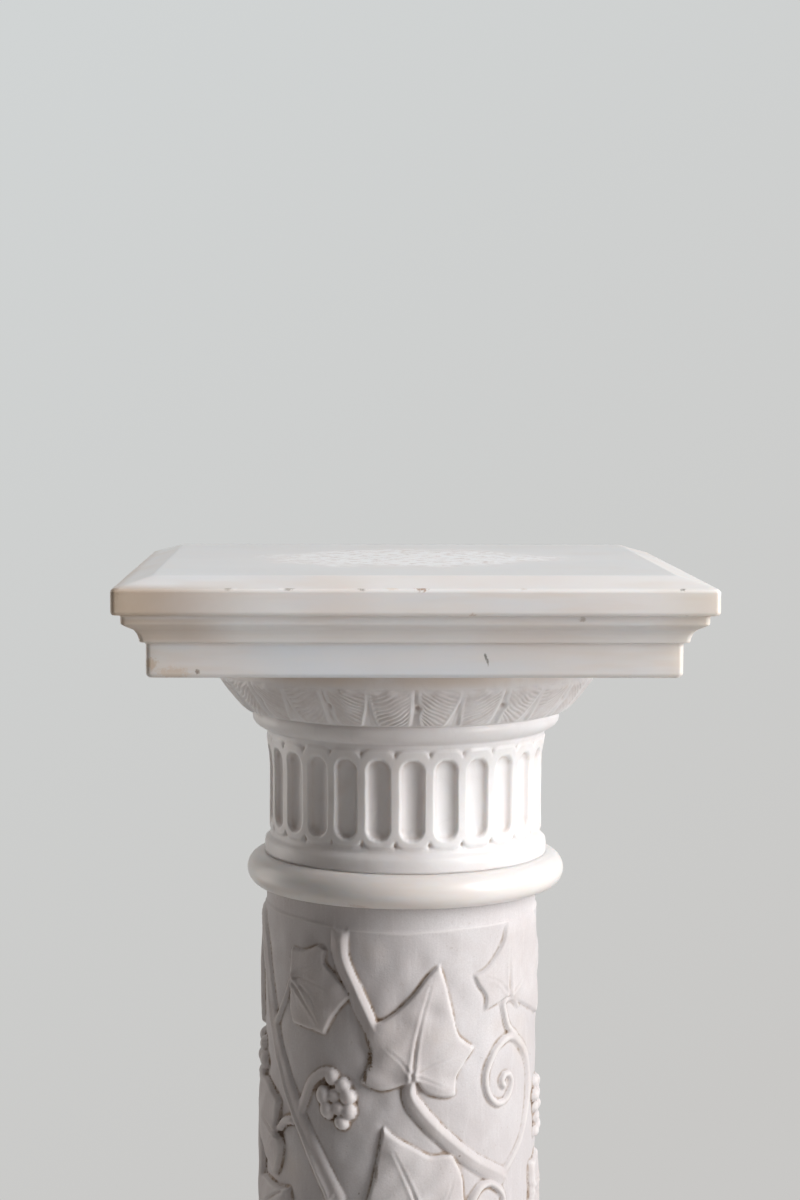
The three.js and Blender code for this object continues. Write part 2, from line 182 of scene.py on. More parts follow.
class Marble:
    """A stone's material: its nodes, the place on the piece and the colour laid so far."""

    def __init__(self, name, noise, low, high, dark, light):
        self.finish = bpy.data.materials.new(name)
        self.finish.use_nodes = True
        self.tree = self.finish.node_tree
        self.place = node(self.tree, "ShaderNodeTexCoord")["Object"]
        cloud = self.patches(noise, low, high)
        self.colour = tint(self.tree, cloud, tone(*dark), tone(*light))

    def mottle(self, scale, detail=3.0, rough=0.5, warp=0.0, place=None):
        inputs = {"Vector": self.place if place is None else place, "Scale": scale}
        inputs |= {"Detail": detail, "Roughness": rough, "Distortion": warp}
        return node(self.tree, "ShaderNodeTexNoise", inputs)[0]

    def patches(self, noise, low, high, start=0.0, end=1.0):
        """Cloudy patches, where a mottle of these values lies between low and high."""
        return ramp(self.tree, self.mottle(*noise), low, high, start, end)

    def times(self, value, *others):
        for other in others:
            value = maths(self.tree, "MULTIPLY", value, other)
        return value

    def wander(self, noise, reach):
        """A mottle about nought, to push an edge or a line out of true."""
        return self.times(maths(self.tree, "SUBTRACT", self.mottle(*noise), 0.5), reach)

    def attribute(self, label):
        return node(self.tree, "ShaderNodeAttribute", attribute_name=label)["Fac"]

    def squeezed(self, scale, turn=(0, 0, 0)):
        """The place on the piece, squeezed so that a mottle is drawn out along an axis."""
        inputs = {"Vector": self.place, "Rotation": turn, "Scale": scale}
        return node(self.tree, "ShaderNodeMapping", inputs)[0]

    def glaze(self, mask, share, shade):
        """Lays a share of another colour over the stone where the mask is."""
        self.colour = tint(self.tree, self.times(mask, share), self.colour, tone(*shade))

    def layer(self, noise, low, high, share, shade):
        self.glaze(self.patches(noise, low, high), share, shade)

    def marked(self, marks):
        """Lays small frayed smudges and chips, each at its own spot and narrowed its own way."""
        for spot, radius, share, shade, narrowing in marks:
            off = vector(self.tree, "SUBTRACT", self.place, spot)
            off = vector(self.tree, "LENGTH", vector(self.tree, "MULTIPLY", off, narrowing))
            off = maths(self.tree, "ADD", off, self.wander((900, 2), radius * 1.4))
            self.glaze(ramp(self.tree, off, radius, radius * 0.35), share, shade)

    def grain(self, fine, coarse, share, distance, strength):
        """A bump from a fine mottle and a share of a coarse one."""
        height = maths(self.tree, "ADD", self.mottle(*fine), self.times(self.mottle(*coarse), share))
        inputs = {"Height": height, "Distance": distance, "Strength": strength}
        return node(self.tree, "ShaderNodeBump", inputs)[0]

    def finished(self, rough, shine, depth=0.0, reach=(1.0, 0.2, 0.1), bump=None):
        """Closes the material: its roughness, its shine, how light sinks into it and its bump."""
        inputs = {"Base Color": self.colour, "Roughness": rough, "Specular IOR Level": shine}
        inputs |= {"Subsurface Weight": depth, "Subsurface Radius": reach, "Subsurface Scale": 1.0}
        if bump is not None:
            inputs["Normal"] = bump
        feed(self.tree, self.tree.nodes["Principled BSDF"], inputs)
        return self.finish


def dusty_marble(name):
    """White marble greyed by dust, with pale brush marks, specks and grit."""
    stone = Marble(name, (14, 4, 0.55, 0.4), 0.32, 0.68, (208, 201, 199), (226, 222, 221))
    brushed = stone.squeezed((1, 1, 0.12), (0.5, 0.2, 0.6))
    stone.layer((55, 5, 0.6, 0.6), 0.45, 0.72, 0.45, (204, 194, 190))
    stone.layer((26, 3, 0.5), 0.55, 0.8, 0.35, (222, 205, 186))
    stone.layer((420, 3, 0.6, 0, brushed), 0.5, 0.7, 0.28, (236, 232, 230))
    stone.layer((420, 2, 0.6), 0.66, 0.74, 0.3, (160, 142, 124))
    stone.layer((1100, 2, 0.7), 0.36, 0.64, 0.3, (192, 184, 181))
    return stone


def left_matte(stone):
    """The matte, finely tooled face of the dusty marble."""
    rough = stone.patches((60, 3), 0.3, 0.7, 0.62, 0.8)
    bump = stone.grain((900, 3, 0.7), (190, 4, 0.6), 1.6, 0.0002, 0.5)
    return stone.finished(rough, 0.3, 0.08, (0.004, 0.003, 0.0025), bump)


_, plinth_top, _, plinth_half = measures(*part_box("plinth"))
plinth_profile = [(6, 0), (plinth_half - 2, 0), (plinth_half, 2), (plinth_half, plinth_top - 3),
                  (plinth_half - 0.9, plinth_top - 0.9), (plinth_half - 3, plinth_top), (6, plinth_top)]
plinth = square_block("plinth_stone", evenly(plinth_profile, [(math.inf, 12)]), 3, (0, 0), 40)
plinth.data.materials.append(left_matte(dusty_marble("plinth_marble")))
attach(plinth, "root")
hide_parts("plinth")

# Base ring: turned from one disc of marble, a large round, a hollow and a small round under a
# fillet. It is bedded on the plinth, and the shaft stands on it.
base_foot, base_top, _, base_radius = measures(*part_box("base_ring"))


def turned_stone(name, profile, centre, around):
    """A stone turned on the wheel: its profile taken round the column's axis."""
    turn = np.radians(np.arange(around) * 360 / around)
    loops = [np.column_stack([r * np.cos(turn), r * np.sin(turn), np.full(around, z)]) for r, z in profile]
    return stacked(name, loops, centre, 50)


def round_edge(outer, foot, height):
    """A half-round edge that swells to the outer radius in the middle of its height."""
    reach = height / 2
    turn = np.radians(np.linspace(-90, 90, 19))
    return [(outer - reach + reach * math.cos(a), foot + reach + reach * math.sin(a)) for a in turn]


base_profile = [(1, base_foot), *round_edge(base_radius, base_foot, 30)]
base_profile += [(97.2, base_foot + 30.2), (97, base_foot + 32.5), (90, base_foot + 33)]
for share in np.linspace(0, 1, 13)[1:]:
    inward = 3 * share + 6.5 * math.sin(math.pi * share)
    base_profile.append((90 - inward, base_foot + 33 + 14 * share))
base_profile += [(89.4, base_foot + 47.4), (89.4, base_foot + 49.6)]
base_profile += round_edge(90.5, base_foot + 50, 11.8)
base_profile += [(83.6, base_foot + 62), (83.6, base_top), (1, base_top)]
base_ring = turned_stone("base_ring_stone", evenly(base_profile, [(math.inf, 6)]), (0, 0), 192)
base_ring.data.materials.append(left_matte(dusty_marble("base_ring_marble")))
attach(base_ring, "root")
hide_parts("base_ring")

# Shaft: one round drum of marble, left matte. A plain collar runs round its top, and below it a
# vine is carved in low relief, with leaves, stems, grapes and tendrils cut down to the ground.
SHAFT_FOOT, SHAFT_TOP, _, _ = measures(*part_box("shaft"))
SHAFT_RADIUS = 74.8
SHAFT_HEIGHT = SHAFT_TOP - SHAFT_FOOT
FOOT_BAND = 21.5
DEGREE_WIDTH = SHAFT_RADIUS * math.pi / 180
GIRTH = 360 * DEGREE_WIDTH
COURSE = 145
COURSE_TURN = 47.4
RELIEF = 2.8

# Leaf outlines in millimetres across and up from the foot of the stalk, with their veins
TALL_LEAF = [(2.5, -1), (8.7, -7.8), (18.8, -10.6), (24.3, -9.6), (24.8, -0.5), (28.1, 5.6), (35.8, 14.9),
             (29.1, 19.5), (25.2, 24.2), (21.8, 37.9), (18.4, 51.6), (15.1, 61.4), (8.5, 55.3), (1.3, 46),
             (-6.3, 38), (-13.8, 32.5), (-20.1, 29.6), (-23.6, 24), (-21.3, 15), (-22.4, 7.5), (-27, -2),
             (-20, -5.2), (-13.8, -6), (-3.1, -2.6)]
TALL_VEINS = [[(0.5, 0), (2, 16), (5, 32), (10, 50)], [(0, 3), (-6, 11), (-14, 18)],
              [(3, 4), (15, 9), (27, 13)], [(3, 2), (12, -2), (20, -6)]]
BROAD_LEAF = [(0.9, -2), (-0.9, -12.7), (1.7, -23.6), (17.4, -25.1), (24.4, -26.7), (31.6, -13.9),
              (41.1, -3.8), (32.8, 5), (25.1, 12.1), (25.6, 19.1), (21.3, 21.3), (14.6, 18.7), (9.7, 17.4),
              (0.9, 17.6), (0, 11.4)]
BROAD_VEINS = [[(2, 0), (8, -5), (15, -13), (21.5, -22)], [(2, 1), (9, 2.5), (17, 1.5), (27, -1.5), (36, -4)],
               [(2, 2), (10, 8), (17, 11), (20, 16)], [(10, -2), (17, -8), (23, -22)],
               [(4, -3), (6, -11), (7, -19)]]
WIDE_LEAF = [(0, 0), (8, -4), (22, -10), (38, -17), (44, -8), (40, 4), (48, 14), (40, 26), (31, 45),
             (8, 46), (-1.6, 38.5), (-4.3, 31.1), (-11, 23), (-17.6, 17.5), (-24.5, 15.1), (-21.4, 8.8),
             (-16.8, 2.8), (-17.5, -5.2), (-8.6, -2.3)]
WIDE_VEINS = [[(0, 1), (0, 16), (0.5, 32)], [(-1, 2), (-9, 10), (-19, 13.5)], [(1, 1), (18, 10), (34, 14)]]
BENT_LEAF = [(0, 0), (14.4, -5), (23.5, 4), (21.4, 14), (20.2, 26.1), (16.7, 34.7), (12.8, 39.4),
             (2.7, 39.2), (-7.2, 44.5), (-16.3, 49.9), (-23, 55.7), (-24, 48.6), (-27, 32.8), (-30.7, 16.4),
             (-36.6, 5), (-30, -6), (-11.7, -7)]
BENT_VEINS = [[(-1, 2), (-8, 22), (-17, 42)], [(1, 2), (10, 14), (15, 27)], [(-2, 0), (-16, 2), (-28, 3)]]
SIDE_LEAF = [(2, 18), (0, 3), (4, -5), (2, -18), (-4, -25), (-20, -14), (-36, -8), (-50, 2), (-54, 14),
             (-44, 22), (-28, 27), (-12, 25)]
UNDER_LEAF = [(3, 6), (5, -6), (4, -22), (-8, -36), (-30, -42), (-54, -32), (-57, -12), (-48, -2), (-40, 3),
              (-4, 4)]

# Stems as degrees round the shaft and depths below its top, and grapes about their bunch
LONG_STEM = [(-76.2, 13), (-71.4, 37.4), (-65.6, 67.7), (-59.3, 92.2), (-48.8, 119), (-38, 138),
             (-28.8, 158)]
FIRST_STEM = [(-86.5, 8), (-82, 19), (-75.5, 37), (-69.3, 60), (-63.4, 81), (-57, 97.3), (-48.6, 116),
              (-42.6, 128), (-36, 142), (-28.8, 158)]
SHORT_STEM = [(-27, 11), (-26.5, 27.5), (-20.6, 44.4), (-14.4, 61.5), (-12.5, 66)]
LOW_STEM = [(2.7, 91.5), (2, 99), (5.5, 108), (15, 122), (29, 138), (44, 150)]
FRUIT_STALK = [(-48, 117), (-44.5, 107), (-40.5, 97), (-34, 90.5), (-29, 91)]
TENDRIL = [(47, 148), (57, 136), (63.2, 123), (66.5, 106), (62.5, 88), (54, 77), (47.5, 75.5), (40.5, 81),
           (36, 92), (37, 103), (42, 109.5), (48, 108.5), (51.3, 101), (49.5, 95.5), (46.2, 95)]
GRAPES = [(-5, 10.6), (1.6, 6.4), (4.4, 1.2), (-9.6, 0), (-3, 0.6), (-0.6, -5.4), (4.6, -6.4), (-7, -7.2),
          (1, -13)]


def flowing(points, closed=False, step=1.6, keep=52):
    """A smooth line through the points. It keeps the tips that bend more than keep degrees."""
    points = np.array(points, float)
    count = len(points)
    ends = count if closed else count - 1
    sharp = []
    for k in range(count):
        back, on = points[k] - points[k - 1], points[(k + 1) % count] - points[k]
        bend = math.degrees(abs(math.atan2(back[0] * on[1] - back[1] * on[0], back @ on)))
        sharp.append(bend > keep or (not closed and k in (0, count - 1)))
    out = []
    for k in range(ends):
        a, b = points[k], points[(k + 1) % count]
        before = a if sharp[k] else points[k - 1]
        after = b if sharp[(k + 1) % count] else points[(k + 2) % count]
        parts = max(2, math.ceil(np.hypot(*(b - a)) / step))
        for t in np.arange(parts) / parts:
            curve = 2 * a + (b - before) * t + (2 * before - 5 * a + 4 * b - after) * t * t
            out.append((curve + (3 * a - before - 3 * b + after) * t ** 3) / 2)
    if not closed:
        out.append(points[-1])
    return np.array(out)


def bell(value, width):
    return np.exp(-(value / width) ** 2)


def step_up(value, width):
    share = np.clip(value / width, 0, 1)
    return share * share * (3 - 2 * share)


class Ground:
    """The drum's surface under the chisel: the height of the carving at each point of a grid."""

    def __init__(self, degrees, depths, slope):
        self.shape = (len(depths), len(degrees))
        across, down = np.meshgrid(degrees * DEGREE_WIDTH, depths)
        self.across, self.down = across.ravel(), down.ravel()
        self.height = np.zeros(self.across.size)
        self.ditch = np.zeros(self.across.size)
        self.slope = slope

    def near(self, line, margin):
        """The grid's points within a margin of a line's box, on whichever side of the seam."""
        middle = line.mean(0)
        across = (self.across - middle[0] + GIRTH / 2) % GIRTH - GIRTH / 2 + middle[0]
        low, high = line.min(0) - margin, line.max(0) + margin
        inside = (across > low[0]) & (across < high[0]) & (self.down > low[1]) & (self.down < high[1])
        picked = np.flatnonzero(inside)
        return picked, across[picked], self.down[picked]

    def distance(self, across, down, line):
        """How far each point is from a line, how far along it, and on which side."""
        best = np.full(across.size, 1e9)
        share = np.zeros(across.size)
        side = np.ones(across.size)
        for k, (a, b) in enumerate(zip(line[:-1], line[1:])):
            run = b - a
            t = np.clip(((across - a[0]) * run[0] + (down - a[1]) * run[1]) / max(run @ run, 1e-9), 0, 1)
            far = np.hypot(across - a[0] - t * run[0], down - a[1] - t * run[1])
            nearer = far < best
            best[nearer] = far[nearer]
            share[nearer] = (k + t[nearer]) / (len(line) - 1)
            cross = run[1] * (across - a[0]) - run[0] * (down - a[1])
            side[nearer] = np.sign(cross[nearer])
        return best, share, side

    def stand(self, picked, height, gap, deep, wide=1.3):
        """Raises the carving to this height, with a shallow ditch in the ground beside it."""
        self.height[picked] = np.maximum(self.height[picked], height)
        cut = deep * np.exp(-np.maximum(gap, 0) / wide) * (gap > 0)
        self.ditch[picked] = np.maximum(self.ditch[picked], cut)

    def leaf(self, outline, veins, degrees, depth, size=1.0, flip=1, lift=RELIEF):
        """A leaf with a sharp edge, crowned lobes and double-cut veins."""
        foot = np.array([degrees * DEGREE_WIDTH, depth])
        ring = flowing(outline, closed=True) * [flip * size, -size] + foot
        loop = np.concatenate([ring, ring[:1]])
        picked, across, down = self.near(loop, 6)
        if not picked.size:
            return
        far = self.distance(across, down, loop)[0]
        odd = np.zeros(across.size, bool)
        for a, b in zip(loop[:-1], loop[1:]):
            between = (a[1] > down) != (b[1] > down)
            rise = b[1] - a[1] if abs(b[1] - a[1]) > 1e-9 else 1e-9
            odd ^= between & (across < (b[0] - a[0]) * (down - a[1]) / rise + a[0])
        inner = np.where(odd, far, -far)
        edge = step_up(inner, self.slope)
        crown = 0.7 + 0.3 * (1 - np.exp(-np.maximum(inner, 0) / 6))
        height = lift * edge * crown
        waves = np.sin(across * 0.31 + 1.3 * np.sin(down * 0.17)) * np.sin(down * 0.23 + across * 0.08)
        height += 0.3 * edge * waves
        for order, vein in enumerate(veins):
            line = flowing(vein) * [flip * size, -size] + foot
            off, share, _ = self.distance(across, down, line)
            strength = (1 - 0.75 * share) * (1 if order == 0 else 0.55)
            wide = (1.5 if order == 0 else 1.1) * (1 - 0.5 * share) + 0.2
            wide = np.maximum(wide, self.slope * 0.9)
            ridge = 0.75 * bell(off - 1.15 * wide, 0.55 * wide) - 0.95 * bell(off, 0.5 * wide)
            swell = 0.5 * bell(off, 4 * wide)
            height += strength * (ridge + swell) * edge
        self.stand(picked, height, -inner, 0.45)

    def stem(self, path, widths, lifts, fluted=0.0, ridge=0.0):
        """A stem or tendril that changes along its widths and lifts. It can be hollowed down its
        middle, or drawn up to a ridge that lies to the right or the left of it."""
        line = flowing(np.array(path, float) * [DEGREE_WIDTH, 1], keep=180)
        picked, across, down = self.near(line, max(widths) / 2 + 5)
        if not picked.size:
            return
        far, share, side = self.distance(across, down, line)
        half = np.interp(share, np.linspace(0, 1, len(widths)), widths) / 2
        half = np.maximum(half, self.slope * 1.2)
        lift = np.interp(share, np.linspace(0, 1, len(lifts)), lifts)
        height = lift * np.sqrt(np.clip(1 - (far / half) ** 2, 0, 1)) ** 0.95
        if ridge:
            over = side * far / half
            slant = np.clip((1 + over * np.sign(ridge)) / (1 + abs(ridge)), 0, 1)
            height *= 0.5 + 0.5 * slant ** 0.8
            height += 0.16 * lift * bell(over - ridge, 0.16) * (far < half)
        height *= 1 - fluted * bell(far, 0.42 * half)
        self.stand(picked, height, far - half, 0.4)

    def bunch(self, degrees, depth, spots, size=4.0):
        """A bunch of grapes, each a cap that stands out of the ground."""
        middle = np.array([degrees * DEGREE_WIDTH, depth])
        spots = np.array(spots, float) * [1, -1] + middle
        picked, across, down = self.near(spots, size + 5)
        if not picked.size:
            return
        for order, spot in enumerate(spots):
            radius = size * (0.9 + 0.06 * ((order * 5) % 4))
            far = np.hypot(across - spot[0], (down - spot[1]) * (0.9 + 0.05 * (order % 3)))
            cap = np.sqrt(np.clip(radius ** 2 - far ** 2, 0, None))
            height = np.where(far < radius, 0.3 * ((order * 7) % 3) + cap * 0.78, 0)
            self.stand(picked, height, far - radius, 0.5, 1.4)


def front_vine(ground):
    """The part of the vine that is seen: one course, with all of its leaves."""
    ground.leaf(TALL_LEAF, TALL_VEINS, 2.7, 91.5)
    ground.leaf(BROAD_LEAF, BROAD_VEINS, -52.7, 43.9, lift=2.3)
    ground.leaf(WIDE_LEAF, WIDE_VEINS, 48.2, 52.9, lift=1.9)
    ground.leaf(BENT_LEAF, BENT_VEINS, 9, 172)
    ground.stem(SHORT_STEM, (10, 9.6, 9.2, 9.6, 8), (2, 2.6, 2.9, 3, 2.4), ridge=0.35)
    ground.stem(LOW_STEM, (6.5, 9.5, 9, 9, 9.5, 10.5), (3, 2.7, 2.5, 2.2, 1.6), ridge=0.25)
    ground.stem(FRUIT_STALK, (6.5, 5.5, 5), (1.6, 2.2, 2.4), ridge=-0.3)
    ground.stem(TENDRIL, (4.2, 4, 5.4, 5.6, 4.4, 4, 3.6, 3.2), (1.2, 1.5, 1.8, 2, 1.9, 1.8))
    ground.stem([(46.2, 95), (44.5, 98), (46, 101)], (3.4, 3.8), (2.0, 2.1))
    ground.bunch(-26.5, 103, GRAPES, 4.7)
    ground.stem([(-52.7, 43.9), (-57.7, 57.2), (-63.7, 69.9)], (2.8, 3.4), (1.7, 1.9))
    ground.stem([(56, 60), (50.8, 54.2), (45.8, 55.2), (46.4, 61.5), (49, 69.6), (54, 75.6)],
                (2.4, 3.4, 3.8, 4.4), (0.9, 1.6, 1.9, 1.9))
    ground.stem([(29.1, 159.3), (33.3, 153.2), (39.5, 152.6), (45.9, 161.1), (45, 172), (38, 178)],
                (5, 4.2, 3.4), (2.2, 2, 1.8), ridge=-0.3)
    ground.leaf(SIDE_LEAF, [[(0, 0), (-22, 6), (-42, 10)], [(-2, -2), (-14, -14)]], -62, 131, lift=3.8)
    ground.leaf(UNDER_LEAF, [[(-2, 2), (-20, -8), (-38, -20)]], -56, 164, lift=3.6)
    ground.stem([(-52, 121), (-57, 123), (-61, 128)], (5, 4.2), (3, 2.8))
    ground.stem([(-84, 13), (-87, 34), (-89.5, 56), (-87, 76)], (3, 5, 6.5, 4), (1.5, 2.4, 2.8, 2.4))
    ground.stem([(-82, 104), (-86, 122), (-86, 150), (-84, 172), (-82, 190)],
                (5, 9, 11, 11, 10), (2.5, 4, 4.2, 4.2, 3.6))
    ground.bunch(-83, 97, [(-6, 12), (2, 9), (-2, 2), (5, 1), (-8, -2), (2, -6), (-4, -10)], 4.6)
    ground.bunch(79, 118, [(-3, 10), (4, 9), (-5, 3), (2, 3), (-3, -4), (4, -4), (0, -10), (2, -15),
                           (-2, -18)], 3.8)
    ground.leaf(BROAD_LEAF, BROAD_VEINS, 68, 164, size=0.8)


def plain_vine(ground, first, turn, whole):
    """The courses that are out of sight: the same vine, with fewer leaves."""
    def at(points):
        return [(degrees + turn, depth + first) for degrees, depth in points]

    ground.leaf(TALL_LEAF, TALL_VEINS[:3], -30 + turn, 70 + first, size=0.84)
    ground.leaf(TALL_LEAF, TALL_VEINS[:3], 14 + turn, 132 + first, size=0.84, flip=-1)
    ground.stem(at([(-30, 70), (-36, 86), (-46, 100), (-54, 107)]), (4, 4.5), (2.2, 2.2))
    ground.stem(at([(14, 132), (8, 147), (-6, 158), (-26, 164)]), (4, 4.5), (2.2, 2.2))
    ground.stem(at([(-45, 126), (-34, 116), (-22, 108), (-12, 112), (-12, 124), (-20, 128), (-24, 121)]),
                (5, 3.2), (2.2, 1.8))
    if whole:
        ground.leaf(BROAD_LEAF, BROAD_VEINS, 84 + turn, 66 + first, size=0.9, flip=-1)
        ground.stem(at([(84, 66), (96, 78), (118, 88)]), (3.5, 4.5), (2, 2))
        ground.bunch(76 + turn, 122 + first, GRAPES)
        ground.stem(at([(80, 110), (90, 102), (108, 100), (124, 104)]), (4, 4.8), (2, 2))


def carved(ground, seed):
    """Cuts the vine, the collar and the band at the foot, and leaves the hand's unevenness."""
    for course in range(5):
        for half in (0, 180):
            turn = course * COURSE_TURN + half
            first = course * COURSE
            path = [(degrees + turn, depth + first) for degrees, depth in LONG_STEM]
            if course == 0 and half == 0:
                path = FIRST_STEM
            ground.stem(path, (8, 9, 9.5, 10, 11, 12), (2.6, 3), fluted=0.3, ridge=-0.5)
            if course or half:
                plain_vine(ground, first, turn, course > 0)
    front_vine(ground)
    degrees = ground.across / DEGREE_WIDTH
    # The hand's unevenness: faint waves that run round and along the drum
    rng = np.random.default_rng(seed)
    uneven = np.zeros(degrees.size)
    for _ in range(26):
        round_waves = rng.integers(2, 34)
        down_wave = rng.uniform(-0.5, 0.5)
        phase = rng.uniform(0, 2 * math.pi)
        uneven += 0.03 * np.sin(np.radians(degrees) * round_waves + ground.down * down_wave * 0.6 + phase)
    # The collar's lower edge droops in front, and the carving rises out of it
    droop = np.interp(degrees, [-180, -90, -74, -46, -25, 0, 22, 60, 90, 180],
                      [10.5, 9.5, 9.5, 10.5, 12.4, 13.4, 12.2, 11.8, 11, 10.5])
    below = np.clip((ground.down - droop) / 1.2, 0, 1)
    foot = SHAFT_HEIGHT - ground.down
    below *= np.clip((foot - FOOT_BAND) / 1.6, 0, 1)
    relief = np.where(ground.height > 0.02, ground.height, -ground.ditch)
    relief = relief * below * np.clip((ground.down - droop) / 6, 0.0, 1) ** 0.6
    relief += uneven * (0.25 + 0.75 * below)
    # A raised line edges the sunk collar and the raised foot band
    line = 0.75 * bell(ground.down - droop - 0.2, 0.7)
    line += 0.5 * bell(foot - FOOT_BAND, 1.5)
    band = -0.7 * (1 - below) * (foot > 30) + 0.6 * (1 - below) * (foot <= 30)
    radius = SHAFT_RADIUS + relief + line * (ground.height < 1) + band
    radius -= 0.5 * np.exp(-ground.down / 0.5) + 0.5 * np.exp(-foot / 0.8)
    return radius.reshape(ground.shape), line.reshape(ground.shape)


def softened(values, times):
    """Values blurred round the drum and along it."""
    for _ in range(times):
        values = (np.roll(values, 1, 1) + 2 * values + np.roll(values, -1, 1)) / 4
        padded = np.concatenate([values[:1], values, values[-1:]])
        values = (padded[:-2] + 2 * values + padded[2:]) / 4
    return values


# Closely spaced corners on the side and the stretch that the photograph shows, wider ones elsewhere
fine_degrees = np.concatenate([np.arange(-92, -60, 0.9), np.arange(-60, 60, 0.64),
                               np.arange(60, 92, 0.9), np.arange(92.5, 266.5, 2.3)])
fine_depths = np.concatenate([[0, 0.35], np.arange(1, 178, 0.86)])
plain_degrees = np.arange(-92, 268, 2.3)
plain_depths = np.concatenate([np.linspace(fine_depths[-1] + 1.6, SHAFT_HEIGHT - 23.5, 184),
                               SHAFT_HEIGHT - np.array([22.3, 21.2, 19.8, 12, 4, 0.8, 0])])
fine_ground = Ground(fine_degrees, fine_depths, 0.9)
plain_ground = Ground(plain_degrees, plain_depths, 2.4)
fine_radius, painted_highlight_line = carved(fine_ground, 5)
plain_radius, _ = carved(plain_ground, 5)
fine_radius = 0.62 * fine_radius + 0.38 * softened(fine_radius, 1)
fine_hollow = softened(fine_radius, 7) - 0.6 * fine_radius - 0.4 * softened(fine_radius, 1)
# Taking the collar's raised line off this value paints it paler in the shaft's material: a painted highlight
# along the line
fine_hollow -= 0.5 * painted_highlight_line
plain_hollow = (softened(plain_radius, 2) - plain_radius) * 1.3
shaft_points, shaft_faces, shaft_hollow = [], [], []
start = 0
for degrees, depths, radius, hollow in ((plain_degrees, plain_depths, plain_radius, plain_hollow),
                                        (fine_degrees, fine_depths, fine_radius, fine_hollow)):
    angle = np.radians(degrees)
    height = np.broadcast_to(SHAFT_TOP - depths[:, None], radius.shape)
    grid = np.stack([radius * np.sin(angle), -radius * np.cos(angle), height], -1)
    shaft_points.append(grid[::-1].reshape(-1, 3))
    shaft_hollow.append(hollow[::-1].ravel())
    shaft_faces += courses(start, len(depths), len(degrees))
    start += radius.size
# The last wide ring and the first close one are laced together corner by corner
upper, lower = fine_degrees.tolist(), plain_degrees.tolist()
upper_next = [*upper[1:], upper[0] + 360, math.inf]
lower_next = [*lower[1:], lower[0] + 360, math.inf]
upper_ring = plain_radius.size
lower_ring = upper_ring - len(lower)
i = j = 0
while i < len(upper) or j < len(lower):
    corner, foot = upper_ring + i % len(upper), lower_ring + j % len(lower)
    if upper_next[i] <= lower_next[j]:
        i += 1
        shaft_faces.append((corner, foot, upper_ring + i % len(upper)))
    else:
        j += 1
        shaft_faces.append((corner, foot, lower_ring + j % len(lower)))
shaft_points = np.concatenate(shaft_points)
shaft = closed_stone("shaft_stone", shaft_points, shaft_faces, len(lower), len(upper), (0, 0), 78)


def stored(piece, label, values):
    """Keeps a value at each corner of the mesh, and nought at its two end points."""
    layer = piece.data.attributes.new(label, "FLOAT", "POINT")
    layer.data.foreach_set("value", np.append(values, [0, 0]).astype(np.float32))


stored(shaft, "hollow", np.concatenate(shaft_hollow))
shaft_marks = []
for degrees, depth, radius, share, length in (
        (-14.4, 72.8, 1.2, 0.8, 0.3), (-13.8, 80.2, 1.9, 0.95, 0.25), (-15.6, 90, 1.7, 0.85, 0.3),
        (-13.1, 98.2, 1.3, 0.75, 1.0), (-12, 101.8, 1.1, 0.8, 0.8), (-60.4, 124.7, 1.6, 0.8, 0.9),
        (-64, 126.2, 1.0, 0.7, 0.8), (-57.8, 131.3, 1.5, 0.6, 0.3), (-18.2, 153.6, 1.2, 0.85, 0.8),
        (-10, 126.7, 1.2, 0.7, 0.3), (-17.2, 63.6, 0.9, 0.7, 0.9), (-13, 62.6, 0.7, 0.6, 0.9),
        (-9.3, 62, 0.8, 0.7, 0.9), (-18.6, 117, 1.0, 0.7, 0.6), (-10.4, 98, 0.9, 0.4, 1.0),
        (-11, 142, 1.4, 0.5, 0.2), (-55.5, 112, 0.5, 0.6, 1.0), (-47, 108, 0.5, 0.5, 1.0),
        (-36.5, 22.4, 1.0, 0.5, 0.8), (-47, 26.4, 1.1, 0.5, 0.9), (-22.6, 46.4, 0.9, 0.6, 0.7),
        (-5.4, 53, 0.8, 0.45, 0.7), (23, 134, 0.8, 0.5, 0.7), (31, 144, 0.7, 0.5, 0.8)):
    angle = math.radians(degrees)
    out_at = (SHAFT_RADIUS + 1.4) * MM
    spot = (out_at * math.sin(angle), -out_at * math.cos(angle), (SHAFT_TOP - depth) * MM)
    shaft_marks.append((spot, radius * MM, share, (112, 88, 62), (1, 0.6, length)))

stone = dusty_marble("shaft_marble")
tree = stone.tree
# The carving's faces are rubbed a little warmer than the ground, and dirt lies in its hollows
from_axis = vector(tree, "LENGTH", vector(tree, "MULTIPLY", stone.place, (1, 1, 0)))
raised = ramp(tree, from_axis, (SHAFT_RADIUS + 0.3) * MM, (SHAFT_RADIUS + 1.8) * MM)
faces = tint(tree, raised, tone(207, 204, 209), tone(214, 207, 209))
stone.colour = tint(tree, 0.3, stone.colour, faces)
hollow = stone.attribute("hollow")
crease = stone.times(ramp(tree, hollow, 0.14, 0.62), stone.patches((100, 4, 0.65), 0.34, 0.6, 0.15))
deep = stone.times(ramp(tree, hollow, 0.36, 0.85), stone.patches((210, 2), 0.47, 0.6))
stone.glaze(crease, 0.72, (150, 124, 98))
stone.glaze(deep, 0.85, (92, 68, 46))
# Crests painted paler: partly wear on the edges, partly painted highlight; along the collar's raised line it
# is painted highlight only
stone.glaze(ramp(tree, hollow, -0.12, -0.7), 0.4, (238, 234, 232))
stone.marked(shaft_marks)
shaft.data.materials.append(left_matte(stone))
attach(shaft, "root")
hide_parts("shaft")

# Torus ring: a thick ring of cream marble with a half-round edge, turned and polished. It lies
# between the shaft and the capital and stands a little further out than both.
ring_foot, ring_top, ring_middle, ring_radius = measures(*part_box("torus_ring"))


